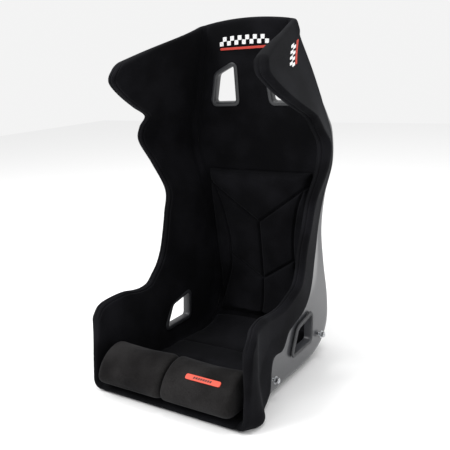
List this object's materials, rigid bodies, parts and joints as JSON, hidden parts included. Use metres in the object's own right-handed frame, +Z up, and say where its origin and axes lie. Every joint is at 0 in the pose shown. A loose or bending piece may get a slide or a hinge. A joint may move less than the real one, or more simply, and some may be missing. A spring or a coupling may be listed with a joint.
{
  "type": "racing seat",
  "caption": "Fixed-back bucket seat with wrap-around head wings, moulded shell, fabric covers, lift-out cushions, strap openings and side mounts.",
  "frame": {"origin": "centre of the bounding box's bottom face", "axes": "+X to the sitter's left, -Y the way the sitter faces, +Z up"},
  "size_m": [0.5654, 0.5468, 0.9066],
  "materials": {
    "laminate": "satin grey gelcoat on glass-fibre laminate",
    "foam": "open-cell foam",
    "velour": "black foam-backed velour",
    "melange": "charcoal melange knit",
    "trim": "dark grey moulded plastic",
    "tape": "black hook-and-loop tape",
    "zinc": "bright zinc plate",
    "steel": "plain steel",
    "tag": "matt red rubber",
    "badge": "white embroidery"
  },
  "bodies": {
    "seat": {"shell": "laminate", "thigh_foam_left": "foam", "torso_foam_left": "foam", "wing_foam_left": "foam", "side_cover_left": "velour", "base_hook_tape_left": "tape", "back_hook_tape_left": "tape", "thigh_hook_tape_left": "tape", "shoulder_slot_trim_left": "trim", "shoulder_slot_rear_ring_left": "trim", "lap_slot_trim_left": "trim", "lap_slot_outer_ring_left": "trim", "wing_badge_left": "badge", "side_mount_insert_front_left": "steel", "flat_washer_front_left": "zinc", "spring_washer_front_left": "zinc", "mount_bolt_front_left": "zinc", "side_mount_insert_rear_left": "steel", "flat_washer_rear_left": "zinc", "spring_washer_rear_left": "zinc", "mount_bolt_rear_left": "zinc", "thigh_foam_right": "foam", "torso_foam_right": "foam", "wing_foam_right": "foam", "side_cover_right": "velour", "base_hook_tape_right": "tape", "back_hook_tape_right": "tape", "thigh_hook_tape_right": "tape", "shoulder_slot_trim_right": "trim", "shoulder_slot_rear_ring_right": "trim", "lap_slot_trim_right": "trim", "lap_slot_outer_ring_right": "trim", "wing_badge_right": "badge", "side_mount_insert_front_right": "steel", "flat_washer_front_right": "zinc", "spring_washer_front_right": "zinc", "mount_bolt_front_right": "zinc", "side_mount_insert_rear_right": "steel", "flat_washer_rear_right": "zinc", "spring_washer_rear_right": "zinc", "mount_bolt_rear_right": "zinc", "base_foam": "foam", "back_foam": "foam", "base_cover": "velour", "back_cover": "velour", "crotch_slot_trim": "trim", "head_badge": "badge"},
    "base_cushion": {"base_cushion": "velour"},
    "back_cushion": {"back_cushion": "velour"},
    "thigh_pad_left": {"thigh_pad_left": "melange", "thigh_pad_tag": "tag"},
    "thigh_pad_right": {"thigh_pad_right": "melange"}
  },
  "joints": [
    {"name": "base_cushion_lift", "type": "slide", "parent": "seat", "child": "base_cushion", "axis": [0, -0.6, 0.8], "range_m": [0, 0.04]},
    {"name": "back_cushion_lift", "type": "slide", "parent": "seat", "child": "back_cushion", "axis": [0, -0.6, 0.8], "range_m": [0, 0.04]},
    {"name": "thigh_pad_left_lift", "type": "slide", "parent": "seat", "child": "thigh_pad_left", "axis": [0, -0.6, 0.8], "range_m": [0, 0.04]},
    {"name": "thigh_pad_right_lift", "type": "slide", "parent": "seat", "child": "thigh_pad_right", "axis": [0, -0.6, 0.8], "range_m": [0, 0.04]}
  ]
}
